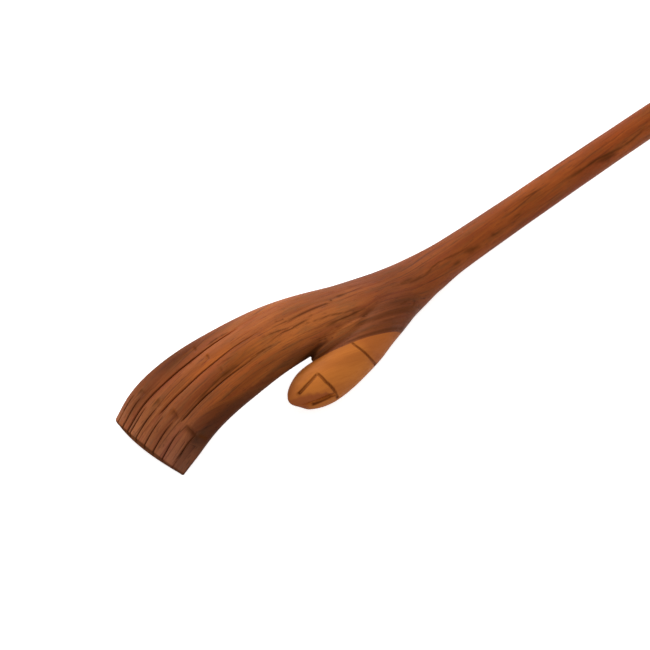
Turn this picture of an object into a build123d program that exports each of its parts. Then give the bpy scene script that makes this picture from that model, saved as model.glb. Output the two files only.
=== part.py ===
from build123d import *
from math import cos, radians, sin, sqrt
import os

# A back scratcher carved as a right hand, palm down, on a slim round handle.
# It lies as it does on a table: on the edge of its fingertips and on the butt of its handle.
# Millimetres. +X runs from the fingertips to the handle's butt, +Z is up and the thumb is on the
# -Y side. "Reach" is the distance from the fingertips along the curved centre line.

# ---- hand and handle ----
LENGTH = 430.0
# (reach, value) pairs, joined by smooth curves
SLOPE = [(0, 39.5), (10, 30.5), (22, 22), (36, 16), (52, 9.5), (70, -3), (90, -11), (110, -14.5),
         (132, -12), (160, 0), (200, 0.5), (260, 0.5), (430, -2.5)]
HALF_WIDTH = [(0, 22.4), (12, 22.7), (28, 22), (45, 21), (62, 19.5), (80, 17.7), (100, 14.9),
              (120, 13.1), (145, 13.4), (180, 9.4), (250, 8), (330, 7.4), (430, 7)]
SIDE_SHIFT = [(0, 10.2), (30, 9.6), (60, 7.9), (90, 5.8), (120, 3), (160, -1), (260, -0.5),
              (430, 0)]
HALF_THICKNESS = [(0, 2.6), (12, 4.6), (30, 4.6), (60, 4.8), (100, 7.2), (150, 6.8), (430, 7.5)]
CROWN = [(0, 4.9), (25, 2), (60, 4), (100, 2), (140, 0), (430, 0)]
SQUARENESS = [(0, 0.7), (20, 0.62), (90, 0.7), (130, 0.85), (170, 1), (430, 1)]
SECTION_REACHES = [0, 6, 13, 21, 30, 40, 51, 63, 76, 90, 104, 118, 132, 146, 160, 175, 191, 209, 229,
                   251, 275, 300, 325, 348, 369, 387, 401, 411, 418, 423, 426.5, 428.6, 429.6]
SECTION_POINTS = 24
BUTT_ROUNDING = 9.0

# ---- the three grooves that part the four fingers, and their nails ----
GROOVE_SIDES = [0.41, 0.03, -0.47]
GROOVE_ENDS = [64, 68, 63]
GROOVE_DEPTH = 1.1
NAIL_SIDES = [0.77, 0.56, 0.31, 0.11, -0.13, -0.36, -0.60, -0.82]
NAIL_LENGTH = 14.0
NAIL_CUT_DEPTH = 0.7
CUT_FLANK = 0.55
CUT_LIFT = 0.5
CUT_STEP = 8.0

# ---- thumb, from inside the wrist to its tip ----
THUMB_ROUTE = [(162, -0.5, 8.5), (122.5, -2.5, 11), (99.5, -27.5, 12), (54, -22, 15)]
THUMB_HALF_WIDTH = [(0, 8), (0.15, 11.2), (0.3, 10.8), (0.55, 10.2), (0.8, 10.2), (1, 11.2)]
THUMB_HALF_THICKNESS = [(0, 5), (0.15, 6.2), (0.3, 7.2), (0.55, 8.4), (0.8, 8.7), (1, 6.6)]
THUMB_ROLL = 9.0
THUMB_TIP_STARTS = 0.84
THUMB_SECTIONS = [0.03, 0.12, 0.22, 0.33, 0.44, 0.56, 0.68, 0.78, 0.84, 0.89, 0.93, 0.96, 0.98, 0.992]

# ---- web of wood left in the crotch between the thumb and the index finger ----
WEB_CENTRE = Vector(95, -11, 16)
WEB_HALF_LENGTH = 17.5
WEB_HALF_WIDTH = 4.0
WEB_HALF_HEIGHT = 6.6
WEB_SECTIONS = [-0.97, -0.85, -0.6, -0.3, 0, 0.3, 0.6, 0.85, 0.97]

# ---- growth ring on which the dark heartwood of the hand meets the pale wood of the thumb ----
RING_RADIUS = 67.5
RING_POINT = (77, 51.4, 37.5)
RING_DRIFT = -0.216

# ---- hanging hole near the butt ----
HOLE_RADIUS = 2.25
HOLE_FROM_BUTT = 14.0

TIP_EDGE_HEIGHT = 4.5


def smooth(table, at):
    """Height at one place of the smooth curve through (place, value) pairs, with no overshoot."""
    places = [row[0] for row in table]
    values = [row[1] for row in table]
    last = len(table) - 1
    gaps = [places[i + 1] - places[i] for i in range(last)]
    rises = [(values[i + 1] - values[i]) / gaps[i] for i in range(last)]
    slopes = [rises[0]] + [0.0] * (last - 1) + [rises[-1]]
    for i in range(1, last):
        if rises[i - 1] * rises[i] > 0:
            before = 2 * gaps[i] + gaps[i - 1]
            after = gaps[i] + 2 * gaps[i - 1]
            slopes[i] = (before + after) / (before / rises[i - 1] + after / rises[i])
    i = max(k for k in range(last) if places[k] <= at or k == 0)
    t = (at - places[i]) / gaps[i]
    rise = values[i + 1] - values[i]
    bend_in = slopes[i] * gaps[i] - rise
    bend_out = rise - slopes[i + 1] * gaps[i]
    return values[i] + t * rise + t * (1 - t) * ((1 - t) * bend_in + t * bend_out)


def centre_point(reach):
    """Where the hand's centre line is, in X and Z, at one reach."""
    steps = max(1, round(reach))
    step = reach / steps
    slopes = [radians(smooth(SLOPE, (i + 0.5) * step)) for i in range(steps)]
    x = sum(cos(slope) * step for slope in slopes)
    z = sum(sin(slope) * step for slope in slopes)
    return x, z + TIP_EDGE_HEIGHT


def section_plane(reach):
    """Plane across the hand: its X runs along +Y, its Y towards the back of the hand."""
    x, z = centre_point(reach)
    slope = radians(smooth(SLOPE, reach))
    return Plane(origin=(x, 0, z), x_dir=(0, 1, 0), z_dir=(cos(slope), 0, sin(slope)))


def power(value, exponent):
    return abs(value) ** exponent * (1 if value >= 0 else -1)


def butt_shrink(reach):
    """How much of its full size a handle section has: less and less over the round butt."""
    past = max(0.0, 1 - (LENGTH - reach) / BUTT_ROUNDING)
    return sqrt(1 - past ** 2)


def section_outline(reach):
    """Rounded, crowned outline of the hand across one section plane."""
    width = smooth(HALF_WIDTH, reach) * butt_shrink(reach)
    thickness = smooth(HALF_THICKNESS, reach) * butt_shrink(reach)
    crown = smooth(CROWN, reach)
    shift = smooth(SIDE_SHIFT, reach)
    square = smooth(SQUARENESS, reach)
    points = []
    for i in range(SECTION_POINTS):
        angle = radians(360 * i / SECTION_POINTS)
        across = power(cos(angle), square)
        points.append((shift + width * across,
                       thickness * power(sin(angle), square) - crown * across ** 2))
    return points


def back_height(reach, side):
    """Height of the back of the hand over the section plane's origin, at one side fraction."""
    square = smooth(SQUARENESS, reach)
    bulge = (1 - abs(side) ** (2 / square)) ** (square / 2)
    return smooth(HALF_THICKNESS, reach) * bulge - smooth(CROWN, reach) * side ** 2


def v_cut_profile(reach, side, depth):
    """Corners of a V across the back of the hand, open above the surface."""
    y = smooth(SIDE_SHIFT, reach) + smooth(HALF_WIDTH, reach) * side
    surface = back_height(reach, side)
    half_top = CUT_FLANK * (depth + CUT_LIFT)
    top = surface + CUT_LIFT
    return [(y, surface - depth), (y + half_top, top), (y - half_top, top)]


def cut_reaches(end):
    """Places along a cut that starts off the fingertips and runs out at its end."""
    count = max(2, round(end / CUT_STEP))
    return [-1.0] + [end * (i + 1) / count for i in range(count)]


def route_point(t):
    """Point and direction on the thumb's centre line, a cubic Bezier curve."""
    a, b, c, d = [Vector(*p) for p in THUMB_ROUTE]
    u = 1 - t
    point = a * u ** 3 + b * (3 * u * u * t) + c * (3 * u * t * t) + d * t ** 3
    along = (b - a) * (3 * u * u) + (c - b) * (6 * u * t) + (d - c) * (3 * t * t)
    return point, along.normalized()


def thumb_plane(t):
    """Plane across the thumb: its Y points out of the thumbnail."""
    point, along = route_point(t)
    upward = Vector(0, -sin(radians(THUMB_ROLL)), cos(radians(THUMB_ROLL)))
    return Plane(origin=point, x_dir=upward.cross(along), z_dir=along)


def thumb_shrink(t):
    """How much of its full size a thumb section has: less and less over the round tip."""
    past = max(0.0, (t - THUMB_TIP_STARTS) / (1 - THUMB_TIP_STARTS))
    return sqrt(1 - past ** 2)


# ---- the whole carving ----
with BuildPart() as palm:
    for reach in SECTION_REACHES:
        with BuildSketch(section_plane(reach)):
            with BuildLine():
                Spline(*section_outline(reach), periodic=True)
            make_face()
    loft()

with BuildPart() as whole_thumb:
    for t in THUMB_SECTIONS:
        with BuildSketch(thumb_plane(t)):
            Ellipse(smooth(THUMB_HALF_WIDTH, t) * thumb_shrink(t),
                    smooth(THUMB_HALF_THICKNESS, t) * thumb_shrink(t))
    loft()

with BuildPart() as web:
    for share in WEB_SECTIONS:
        middle = WEB_CENTRE + Vector(share * WEB_HALF_LENGTH, 0, 0)
        shrink = sqrt(1 - share ** 2)
        with BuildSketch(Plane(origin=middle, x_dir=(0, 1, 0), z_dir=(1, 0, 0))):
            Ellipse(WEB_HALF_WIDTH * shrink, WEB_HALF_HEIGHT * shrink)
    loft()

# ---- V cuts: three grooves between the fingers and a cut down each side of a nail ----
cuts = [(side, end, GROOVE_DEPTH) for side, end in zip(GROOVE_SIDES, GROOVE_ENDS)]
cuts += [(side, NAIL_LENGTH, NAIL_CUT_DEPTH) for side in NAIL_SIDES]

with BuildPart() as finger_cuts:
    for side, end, full_depth in cuts:
        for reach in cut_reaches(end):
            depth = full_depth * sqrt(max(0.0, 1 - max(0.0, reach) / end))
            with BuildSketch(section_plane(reach)):
                with BuildLine():
                    Polyline(*v_cut_profile(reach, side, depth), close=True)
                make_face()
        loft()

# ---- dark heartwood inside the growth ring, pale wood outside it ----
ring_axis = Plane(origin=RING_POINT, z_dir=(1, RING_DRIFT, 0))
with BuildPart() as heartwood:
    with BuildSketch(ring_axis.offset(-LENGTH)):
        Circle(RING_RADIUS)
    extrude(amount=2 * LENGTH)

with BuildPart() as thumb:
    add(whole_thumb.part)
    add(heartwood.part, mode=Mode.SUBTRACT)

with BuildPart() as thumb_root:
    add(whole_thumb.part)
    add(heartwood.part, mode=Mode.INTERSECT)

with BuildPart() as hand_and_handle:
    add(palm.part)
    add(thumb_root.part)
    add(web.part)
    add(finger_cuts.part, mode=Mode.SUBTRACT)
    hole_x, hole_z = centre_point(LENGTH - HOLE_FROM_BUTT)
    with Locations(Location((hole_x, 0, hole_z))):
        Cylinder(HOLE_RADIUS, 40, mode=Mode.SUBTRACT)

# ---- origin under the middle of the whole, on the surface it lies on ----
box = Compound([hand_and_handle.part, thumb.part]).bounding_box()
to_origin = Location((-box.center().X, -box.center().Y, -box.min.Z))
hand_and_handle.part.locate(to_origin)
thumb.part.locate(to_origin)

os.makedirs("parts", exist_ok=True)
hand_and_handle.part.label = "hand_and_handle"
thumb.part.label = "thumb"
export_step(hand_and_handle.part, "parts/hand_and_handle.step")
export_step(thumb.part, "parts/thumb.step")
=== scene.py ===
import bmesh
import bpy
import numpy as np
from mathutils import Matrix, Vector


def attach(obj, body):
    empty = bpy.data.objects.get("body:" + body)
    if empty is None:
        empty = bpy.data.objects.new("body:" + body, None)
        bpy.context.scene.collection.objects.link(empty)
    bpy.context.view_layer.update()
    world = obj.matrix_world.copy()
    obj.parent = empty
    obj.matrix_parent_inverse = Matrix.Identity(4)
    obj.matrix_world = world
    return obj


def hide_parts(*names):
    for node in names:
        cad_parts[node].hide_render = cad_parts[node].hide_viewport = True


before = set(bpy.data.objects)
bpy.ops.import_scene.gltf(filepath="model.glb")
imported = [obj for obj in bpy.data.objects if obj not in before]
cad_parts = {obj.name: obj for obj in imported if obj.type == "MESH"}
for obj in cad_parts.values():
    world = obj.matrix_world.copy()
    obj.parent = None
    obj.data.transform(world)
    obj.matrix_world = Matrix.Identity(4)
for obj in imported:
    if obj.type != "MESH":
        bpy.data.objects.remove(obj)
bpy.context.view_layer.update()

# A back scratcher carved as a right hand on a slim handle, from one piece of wood whose thumb is in
# the pale sapwood. Shapes are in millimetres and laid out as in the CAD source: x from the fingertips
# to the butt, z up, the thumb on the -y side. "Reach" is the distance from the fingertips along the
# curved centre line, "side" the share of the half width: -1 at the index finger, 1 at the little one.
MM = 0.001
ROW_ORIGIN = np.array([211.1, -0.06, 0.02])

# ---- the CAD part's driving tables: (place, value) ----
LENGTH = 430.0
TIP_EDGE_HEIGHT = 4.5
SLOPE = [(0, 39.5), (10, 30.5), (22, 22), (36, 16), (52, 9.5), (70, -3), (90, -11), (110, -14.5),
         (132, -12), (160, 0), (200, 0.5), (260, 0.5), (430, -2.5)]
HALF_WIDTH = [(0, 22.4), (12, 22.7), (28, 22), (45, 21), (62, 19.5), (80, 17.7), (100, 14.9),
              (120, 13.1), (145, 13.4), (180, 9.4), (250, 8), (330, 7.4), (430, 7)]
SIDE_SHIFT = [(0, 10.2), (30, 9.6), (60, 7.9), (90, 5.8), (120, 3), (160, -1), (260, -0.5),
              (430, 0)]
HALF_THICKNESS = [(0, 2.6), (12, 4.6), (30, 4.6), (60, 4.8), (100, 7.2), (150, 6.8), (430, 7.5)]
CROWN = [(0, 4.9), (25, 2), (60, 4), (100, 2), (140, 0), (430, 0)]
SQUARENESS = [(0, 0.7), (20, 0.62), (90, 0.7), (130, 0.85), (170, 1), (430, 1)]
BUTT_ROUNDING = 9.0
THUMB_ROUTE = np.array([(162, -0.5, 8.5), (122.5, -2.5, 11), (99.5, -27.5, 12), (54, -22, 15)])
THUMB_HALF_WIDTH = [(0, 8), (0.15, 11.2), (0.3, 10.8), (0.55, 10.2), (0.8, 10.2), (1, 11.2)]
THUMB_HALF_THICKNESS = [(0, 5), (0.15, 6.2), (0.3, 7.2), (0.55, 8.4), (0.8, 8.7), (1, 6.6)]
THUMB_ROLL = 9.0
THUMB_TIP_STARTS = 0.84
THUMB_ROOT_STARTS = 0.03
RING_RADIUS = 67.5
RING_POINT = np.array([77, 51.4, 37.5])
RING_DRIFT = -0.216
HOLE_RADIUS = 2.25
HOLE_REACH = 416.0

# ---- carved detail of the hand ----
# knife lines: (side, drift over DRIFT_RUN, reach where it starts, reach where it ends, depth)
DRIFT_RUN = 60
GROOVES = [(0.44, -0.03, -5, 64, 1.0), (0.01, -0.02, 12, 68, 0.6), (-0.42, -0.08, 15, 63, 0.9)]
NAIL_CUTS = [(0.81, 0, -5, 13.5, 0.7), (0.60, 0, -5, 14.5, 0.7), (0.35, 0, -5, 13, 0.6),
             (0.15, 0, -5, 15, 0.7), (-0.09, 0, -5, 14, 0.7), (-0.32, 0, -5, 15, 0.7),
             (-0.56, 0, -5, 14.5, 0.7), (-0.795, -0.08, -5, 18, 1.0)]
# how a knife line strays: (side, mm of reach to a radian, radians to a side)
SWAYS = [(0.005, 6.5, 11), (0.003, 2.7, 5)]
FADE_IN = 5
# each kind of line: (lines, half width at its end and its gain to full depth, depth and half width
# of the soft dish it lies in, half width of the darkening in it: dirt together with painted shade)
KNIFE_LINES = [(GROOVES, (0.2, 0.4), (0.3, 2.2), 0.4), (NAIL_CUTS, (0.15, 0.3), (0.1, 1.3), 0.38)]
# stop cuts across the fingers: (middle side, half of its side span, reach, slant, depth)
CUTICLES = [(0.67, 0.09, 16.5, 0.4, 0.35), (0.18, 0.09, 17, 0.8, 0.35), (-0.26, 0.13, 17.5, 0.9, 0.5),
            (-0.73, 0.16, 16.3, 0.5, 0.8)]
KNUCKLES = [(0.21, 0.08, 45, 0.6, 0.3), (0.63, 0.08, 45, 0.5, 0.3), (-0.26, 0.07, 44, 0.6, 0.15)]
STOP_CUT_BOW = 0.3
# each kind of stop cut: (cuts, its slopes in mm towards the knuckles and the tip, strength of the
# darkening in it: dirt together with painted shade, slopes of that darkening)
STOP_CUTS = [(CUTICLES, (0.5, 3.2), 0.9, (0.35, 1.6)), (KNUCKLES, (0.5, 0.9), 1.8, (0.3, 0.6))]
TIP_ROUNDING = 0.9
TIP_LOWER_ROUNDING = 0.5
# how far the fingertips go ahead of reach 0: (at the middle, more at the sides)
TIP_UPPER_FORWARD = (0.45, 0.75)
TIP_LOWER_FORWARD = (2.7, -1.5)
TIP_FORWARD_RUN = 12
# the little finger's corner is set back: (side where that starts, its span, how far)
LITTLE_CORNER = (0.82, 0.18, 1.1)
# shallow chips: (depth, radians to a mm of reach, radians to a side)
CHIPS = [(0.06, 0.19, 3.1), (0.05, 0.083, -5)]
INDEX_EDGE_SHARPNESS = 0.24
INDEX_KNUCKLE_SHARPER = 0.9
INDEX_FLANK_FOOT = 0.2
# side, from the middle, of the corner between the back and the flat flank of the index finger
INDEX_EDGE = [(0, 0.81), (12, 0.82), (22, 0.86), (33, 0.9), (50, 0.92), (71, 0.88), (78, 0.91),
              (90, 0.92), (120, 0.93), (430, 0.93)]

# ---- web between the thumb and the index finger ----
WEB_CENTRE = np.array([95, -11, 16])
WEB_HALF_SIZE = np.array([17.5, 4, 6.6])


def smooth(table, at):
    """Smooth curve through (place, value) pairs, with no overshoot, as the CAD source has it."""
    places, values = np.array(table, float).T
    gaps = np.diff(places)
    rises = np.diff(values) / gaps
    before = 2 * gaps[1:] + gaps[:-1]
    after = gaps[1:] + 2 * gaps[:-1]
    level = rises[:-1] * rises[1:] <= 0
    steep = np.where(rises == 0, 1.0, rises)
    spread = np.where(level, 1.0, before / steep[:-1] + after / steep[1:])
    inner = np.where(level, 0.0, (before + after) / spread)
    slopes = np.concatenate([rises[:1], inner, rises[-1:]])
    i = np.clip(np.searchsorted(places, at, side="right") - 1, 0, len(gaps) - 1)
    t = (at - places[i]) / gaps[i]
    rise = values[i + 1] - values[i]
    bend_in = slopes[i] * gaps[i] - rise
    bend_out = rise - slopes[i + 1] * gaps[i]
    return values[i] + t * rise + t * (1 - t) * ((1 - t) * bend_in + t * bend_out)


def ease(low, high, at):
    """0 below low, 1 above high, and smooth between."""
    t = np.clip((at - low) / (high - low), 0, 1)
    return t * t * (3 - 2 * t)


# ---- the hand's centre line ----
LINE_REACH = np.linspace(0, LENGTH, 1721)
LINE_SLOPE = np.radians(smooth(SLOPE, LINE_REACH))


def summed(rate):
    """Running sum of a rate along the centre line."""
    return np.concatenate([[0], np.cumsum((rate[1:] + rate[:-1]) / 2)]) * LINE_REACH[1]


LINE_X = summed(np.cos(LINE_SLOPE))
LINE_Z = summed(np.sin(LINE_SLOPE)) + TIP_EDGE_HEIGHT


def centre(reach):
    """X, Z and slope of the centre line."""
    return (np.interp(reach, LINE_REACH, LINE_X), np.interp(reach, LINE_REACH, LINE_Z),
            np.radians(smooth(SLOPE, reach)))


def notch(reach, side, mark, slopes):
    """Profile of a short stop cut across a finger."""
    behind, ahead = slopes
    mid, half, place, slant, _ = mark
    u = (side - mid) / half
    off = reach - place - STOP_CUT_BOW * (1 - u * u) - slant * u
    profile = np.where(off > 0, np.exp(-(off / behind) ** 2), np.exp(-(off / ahead) ** 2))
    return profile * np.clip(1 - u ** 4, 0, 1)


def wander(place, drift, reach):
    """The side at which a knife line really runs."""
    astray = sum(sway * np.sin(reach / run + turn * place) for sway, run, turn in SWAYS)
    return place + drift * reach / DRIFT_RUN + astray


def running_out(reach, end):
    """Share of a knife line's full depth as it runs out towards its end."""
    return np.sqrt(np.clip(1 - reach / end, 0, 1))


def strength_left(reach, start, end):
    """The same, with the line's fading in at its start."""
    return running_out(reach, end) * ease(start, start + FADE_IN, reach)


def back_cuts(reach, side):
    """Depth that the knife took off the back of the hand, in mm."""
    width = smooth(HALF_WIDTH, reach)
    depth = np.zeros(np.broadcast(reach, side).shape)
    for lines, (narrow, gain), (dish, dish_half), _ in KNIFE_LINES:
        for place, drift, start, end, deep in lines:
            away = np.abs(side - wander(place, drift, reach)) * width
            left = strength_left(reach, start, end)
            depth += deep * left * np.clip(1 - away / (narrow + gain * left), 0, 1)
            depth += dish * running_out(reach, end) * np.exp(-(away / dish_half) ** 2)
    for marks, slopes, _, _ in STOP_CUTS:
        for mark in marks:
            depth += mark[-1] * notch(reach, side, mark, slopes)
    return depth


def rounded_off(reach, radius):
    """How much an edge at the fingertips is rounded off."""
    before = np.clip(1 - reach / radius, 0, 1)
    return radius * (1 - np.sqrt(1 - before ** 2))


def hand_points(reach, side, upper):
    """Surface points of the palm and the handle, for every side at every reach."""
    reach = np.asarray(reach, float)[:, None]
    side = np.asarray(side, float)[None, :]
    x, z, slope = centre(reach)
    past = np.clip(1 - (LENGTH - reach) / BUTT_ROUNDING, 0, 1)
    butt = np.sqrt(1 - past ** 2)
    rounding = TIP_ROUNDING if upper else TIP_LOWER_ROUNDING
    width = smooth(HALF_WIDTH, reach) * butt - rounded_off(reach, TIP_LOWER_ROUNDING)
    thickness = smooth(HALF_THICKNESS, reach) * butt - rounded_off(reach, rounding)
    square = smooth(SQUARENESS, reach)
    if upper:
        sharpness = INDEX_EDGE_SHARPNESS * (1 + INDEX_KNUCKLE_SHARPER * ease(62, 82, reach))
        sharpness = sharpness * (1 - ease(100, 130, reach))
        square = square * (1 - sharpness * ease(0, 0.5, -side))
    bulge = np.clip(1 - np.abs(side) ** (2 / square), 0, 1) ** (square / 2)
    chip = sum(deep * (1 + np.sin(reach * along + across * side)) for deep, along, across in CHIPS)
    chip = chip * np.clip(bulge * 2, 0, 1) * butt
    crown = smooth(CROWN, reach) * butt
    off = (thickness - chip) * bulge * (1 if upper else -1) - crown * side ** 2
    if upper:
        edge = smooth(INDEX_EDGE, reach)
        corner = thickness * (1 - edge ** (2 / square)) ** (square / 2) - crown * edge ** 2
        down = np.clip((-side - edge) / (1 - edge), 0, 1)
        flank = np.where(down > 0, corner + down * (INDEX_FLANK_FOOT - crown - corner), np.inf)
        off = off + (1 - ease(85, 110, reach)) * (np.minimum(off, flank) - off)
        off = off - back_cuts(reach, side)
    middle, more = TIP_UPPER_FORWARD if upper else TIP_LOWER_FORWARD
    starts, span, set_back = LITTLE_CORNER
    forward = middle + more * side ** 2 - set_back * np.clip((side - starts) / span, 0, 1) ** 2
    forward = forward * np.clip(1 - reach / TIP_FORWARD_RUN, 0, 1) ** 2
    across = smooth(SIDE_SHIFT, reach) + width * side
    x = x - forward - np.sin(slope) * off
    return np.stack(np.broadcast_arrays(x, across, z + np.cos(slope) * off), -1)


def grid(rows, columns):
    return np.meshgrid(rows, columns, indexing="ij")


def spans(*parts):
    """Places in steps: (start, end, step) parts that follow on from each other."""
    runs = [np.linspace(a, b, max(1, round((b - a) / step)), endpoint=False) for a, b, step in parts]
    return np.concatenate(runs + [[parts[-1][1]]])


def thinned(values, least):
    """Falling values without those nearer than least to the one kept before."""
    kept = []
    for value in sorted(values, reverse=True):
        if not kept or kept[-1] - value >= least:
            kept.append(value)
    return np.array(kept)


def placed(name, data):
    """A new object in the scene."""
    made = bpy.data.objects.new(name, data)
    bpy.context.scene.collection.objects.link(made)
    return made


class Shell:
    """Vertices and faces of one closed mesh as it is built."""

    def __init__(self):
        self.points = []
        self.faces = []

    def add(self, points):
        """Adds a grid of points; returns their numbers in the same layout."""
        start = len(self.points)
        flat = points.reshape(-1, 3)
        self.points.extend(flat.tolist())
        return np.arange(start, start + len(flat)).reshape(points.shape[:-1])

    def tube(self, rows):
        """Quads between neighbouring closed rows of a grid."""
        a, b = rows[:-1], rows[1:]
        quads = np.stack([a, np.roll(a, -1, 1), np.roll(b, -1, 1), b], -1)
        self.faces.extend(quads.reshape(-1, 4).tolist())

    def zip(self, one, one_at, two, two_at):
        """Triangles between two chains whose points have rising places along them."""
        i = j = 0
        while i < len(one) - 1 or j < len(two) - 1:
            on_one = j == len(two) - 1 or (i < len(one) - 1 and one_at[i + 1] <= two_at[j + 1])
            face = [one[i], two[j], one[i + 1] if on_one else two[j + 1]]
            if len(set(face)) == 3:
                self.faces.append([int(v) for v in face])
            i, j = (i + 1, j) if on_one else (i, j + 1)

    def capped_tube(self, points, first, last):
        """A tube of closed rows, with a fan of triangles to a point at each end."""
        rows = self.add(points)
        self.tube(rows)
        for loop, middle in ((rows[0], first), (rows[-1], last)):
            hub = int(self.add(np.array([middle]))[0])
            self.faces.extend([[int(loop[k - 1]), int(loop[k]), hub] for k in range(len(loop))])

    def object(self, name):
        """The built mesh as a scene object, its faces all turned outwards."""
        mesh = bpy.data.meshes.new(name)
        mesh.from_pydata(self.points, [], self.faces)
        tidy = bmesh.new()
        tidy.from_mesh(mesh)
        bmesh.ops.recalc_face_normals(tidy, faces=tidy.faces)
        bmesh.ops.triangulate(tidy, faces=tidy.faces)
        tidy.to_mesh(mesh)
        tidy.free()
        return placed(name, mesh)


# the mesh is finest round the edges of the hand and at the knife lines
EDGE_ANGLES = [0, 0.6, 1.6, 3, 4.6, 6.6, 9, 12, 15.5, 19.5, 24, 29, 34.5]
EDGE_POWER = 0.65
HANDLE_POWER = 0.8
NEAR_CUT = [0, 0.004, 0.009, 0.016, 0.024, 0.034]
LEAST_SIDE_STEP = 0.0035
# sides, then reaches: (start, end, step)
BACK_SIDES = [(-0.864, 0.865, 0.018), (-0.54, -0.42, 0.008), (0.38, 0.46, 0.008)]
PALM_SIDES = (-0.84, 0.85, 0.06)
HAND_REACHES = [(0, 1.8, 0.2), (1.8, 15, 0.45), (15, 21, 0.35), (21, 43, 0.7), (43, 48, 0.4),
                (48, 72, 0.7), (72, 80, 1)]
HANDLE_REACHES = [(80.8, 165, 0.85), (165, 400, 2), (400, 421, 0.8)]
DOME_ANGLES = np.linspace(0, 1.26, 15)[1:]


def closed_rows(reaches, tops, bottoms):
    """Rows of points round the hand, over its back and then under its palm."""
    return np.concatenate([hand_points(reaches, tops, True), hand_points(reaches, bottoms, False)], 1)


def hand_shell():
    """The palm with its four fingers, and the handle."""
    shell = Shell()
    edge = np.cos(np.radians(EDGE_ANGLES)) ** EDGE_POWER
    tops = [line[0] + sign * d for line in GROOVES + NAIL_CUTS for d in NEAR_CUT for sign in (1, -1)]
    tops = np.concatenate([tops] + [np.arange(*run) for run in BACK_SIDES])
    tops = np.concatenate([edge, thinned(tops, LEAST_SIDE_STEP), -edge[::-1]])
    bottoms = np.concatenate([-edge[1:], np.arange(*PALM_SIDES), edge[:0:-1]])
    hand = shell.add(closed_rows(spans(*HAND_REACHES), tops, bottoms))
    shell.tube(hand)
    angles = np.linspace(0, np.pi, 57)
    handle_tops = np.sign(np.cos(angles)) * np.abs(np.cos(angles)) ** HANDLE_POWER
    handle_bottoms = -handle_tops[1:-1]
    dome = LENGTH - BUTT_ROUNDING * (1 - np.sin(DOME_ANGLES))
    handle_reaches = np.concatenate([spans(*HANDLE_REACHES), dome])
    handle = shell.add(closed_rows(handle_reaches, handle_tops, handle_bottoms))
    shell.tube(handle)

    def around(top, bottom):
        """Places from 0 to 1 once round a section."""
        return np.concatenate([(1 - top) / 4, 0.5 + (1 + bottom) / 4, [1]])

    shell.zip(np.append(hand[-1], hand[-1][0]), around(tops, bottoms),
              np.append(handle[0], handle[0][0]), around(handle_tops, handle_bottoms))
    for row, top, bottom in ((hand[0], tops, bottoms), (handle[-1], handle_tops, handle_bottoms)):
        count = len(top)
        under = np.concatenate([[row[0]], row[count:][::-1], [row[count - 1]]])
        under_at = np.concatenate([[-top[0]], -bottom[::-1], [-top[-1]]])
        shell.zip(row[:count], -top, under, under_at)
    return shell.object("palm_and_handle_shell")


def unit(vectors):
    return vectors / np.linalg.norm(vectors, axis=1, keepdims=True)


def thumb_frame(t):
    """Centre, sideways and nailward directions of the thumb's cross sections."""
    t = np.asarray(t, float)[:, None]
    u = 1 - t
    a, b, c, d = THUMB_ROUTE
    point = a * u ** 3 + b * (3 * u * u * t) + c * (3 * u * t * t) + d * t ** 3
    along = unit((b - a) * (3 * u * u) + (c - b) * (6 * u * t) + (d - c) * (3 * t * t))
    roll = np.radians(THUMB_ROLL)
    sideways = unit(np.cross([0, -np.sin(roll), np.cos(roll)], along))
    return point, sideways, np.cross(along, sideways)


def thumb_skin(t, degrees, grown=0.0, ends=1.0):
    """Plain surface points of the thumb, that much grown, and the outward directions there."""
    t, degrees = np.broadcast_arrays(t, degrees)
    shape = t.shape
    point, sideways, nailward = thumb_frame(t.ravel())
    past = np.clip((t.ravel() - THUMB_TIP_STARTS) / (ends - THUMB_TIP_STARTS), 0, 1)
    shrink = np.sqrt(1 - past ** 2)[:, None]
    half_width = smooth(THUMB_HALF_WIDTH, np.minimum(t.ravel(), 1))[:, None] + grown
    half_thickness = smooth(THUMB_HALF_THICKNESS, np.minimum(t.ravel(), 1))[:, None] + grown
    angle = np.radians(degrees.ravel())[:, None]
    skin = point + shrink * (half_width * np.cos(angle) * sideways
                             + half_thickness * np.sin(angle) * nailward)
    out = unit(half_thickness * np.cos(angle) * sideways + half_width * np.sin(angle) * nailward)
    return skin.reshape(shape + (3,)), out.reshape(shape + (3,))


# ---- carved detail of the thumb: t is 0 in the wrist and 1 at the tip, degrees go round it ----
# knife lines: (half width, depth, points), each point (t, degrees)
THUMB_LINES = [
    (0.45, 0.6, [(0.669, 99), (0.674, 81), (0.672, 61), (0.664, 34), (0.64, -1), (0.625, -20)]),
    (0.5, 0.6, [(0.882, 96), (0.882, 82), (0.882, 68), (0.877, 52), (0.872, 36), (0.867, 15),
                (0.857, -8)]),
    (0.55, 0.7, [(0.886, 95), (0.91, 92), (0.94, 88), (0.975, 81)]),
    (0.8, 0.9, [(0.868, 16), (0.89, 22), (0.92, 23), (0.955, 20)]),
]
# the scooped end of the thumbnail: (t, degrees) of its edge, down to the cut at its right
SCOOP_EDGE = [(0.875, 26), (0.9, 42), (0.925, 54), (0.947, 65), (0.975, 80), (1, 92)]
SCOOP_FLOOR = 21
SCOOP_RIM = 3
SCOOP_DEPTH = 1.5
SCOOP_TIP_SHALLOWER = 0.7
# its ragged edge: (degrees, radians to a t)
SCOOP_EDGE_SWAY = (2.5, 260)
# the soft dish that a knife line lies in: (depth, half width)
LINE_DISH = (0.12, 1.6)
# shallow chips: (depth, radians to a t, turns once round)
THUMB_CHIP = (0.08, 31, 3)
# the pad is pared flat under the tip: (depth, degrees of its middle)
PARED_PAD = (0.9, -150)
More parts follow.
